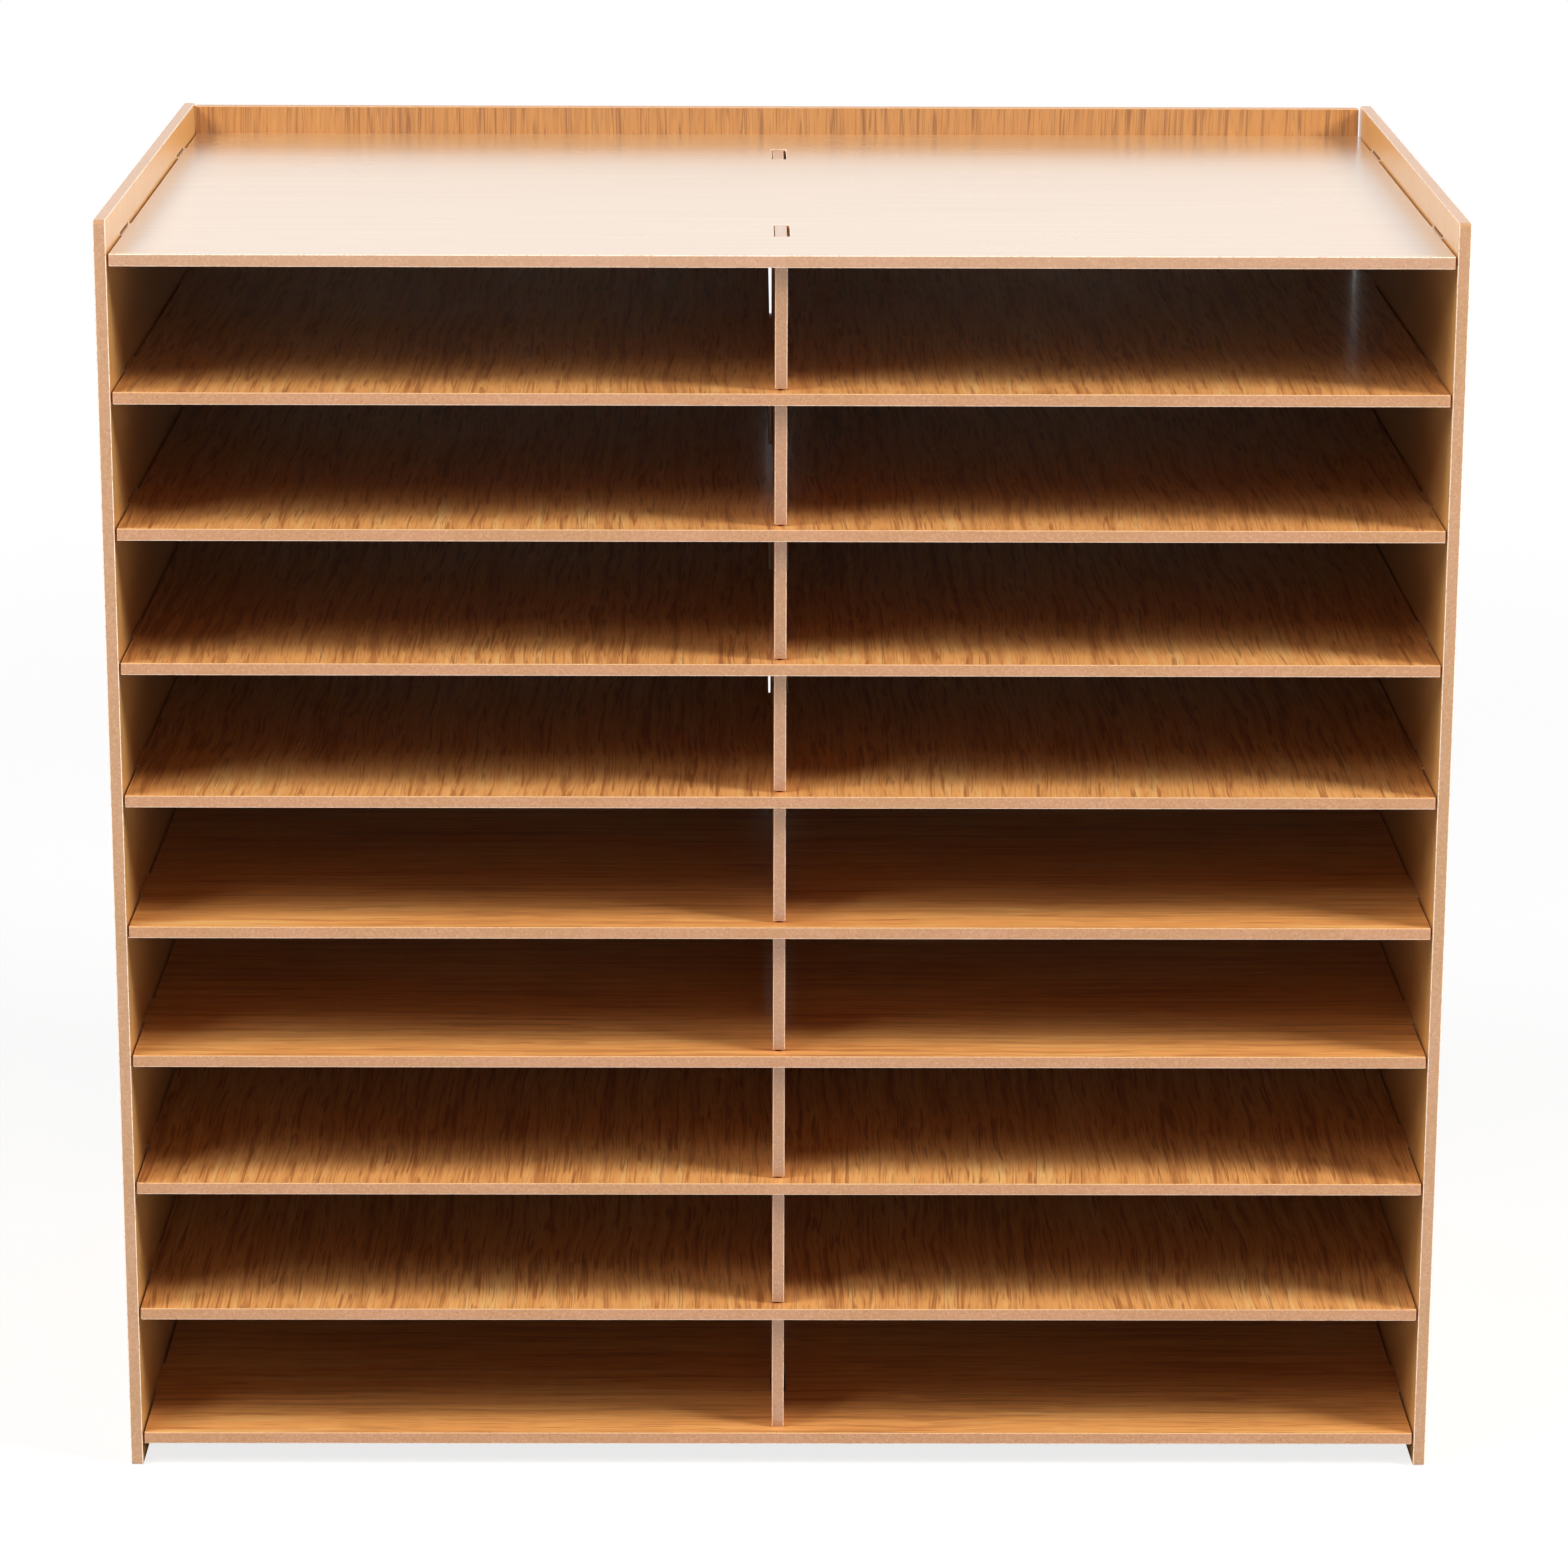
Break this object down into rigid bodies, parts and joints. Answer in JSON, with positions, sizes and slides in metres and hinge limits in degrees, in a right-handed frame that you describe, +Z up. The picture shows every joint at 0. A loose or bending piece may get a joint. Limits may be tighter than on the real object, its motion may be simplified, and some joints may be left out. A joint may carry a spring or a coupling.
{
  "type": "desk organizer",
  "caption": "Free-standing desk organizer: open compartments in two columns between laminated boards, under a shallow top tray with raised side and back edges.",
  "frame": {"origin": "on the floor, in the middle of the width and of the depth", "axes": "+X to the right along the width, +Y from the open front to the back panel, +Z up"},
  "size_m": [0.55, 0.35, 0.5325],
  "materials": {
    "side_panel_finish": "oak-print laminate with a satin sheen on both faces, bare fibreboard edges",
    "top_board_finish": "oak-print laminate, grain along the width, satin, bare fibreboard edges",
    "cross_grain_shelf_finish": "oak-print laminate, grain front to back, satin, bare fibreboard edges",
    "long_grain_shelf_finish": "oak-print laminate, grain along the width, satin, bare fibreboard edges",
    "divider_finish": "oak-print laminate on both faces, bare fibreboard front edge",
    "back_panel_finish": "oak-print laminate with upright grain, satin, bare fibreboard edges"
  },
  "bodies": {
    "root": {"left_side_panel": "side_panel_finish", "right_side_panel": "side_panel_finish", "top_board": "top_board_finish", "shelf_1": "cross_grain_shelf_finish", "shelf_2": "cross_grain_shelf_finish", "shelf_3": "cross_grain_shelf_finish", "shelf_4": "cross_grain_shelf_finish", "shelf_7": "cross_grain_shelf_finish", "shelf_8": "cross_grain_shelf_finish", "shelf_5": "long_grain_shelf_finish", "shelf_6": "long_grain_shelf_finish", "bottom_board": "long_grain_shelf_finish", "centre_divider": "divider_finish", "back_panel": "back_panel_finish"}
  },
  "joints": []
}
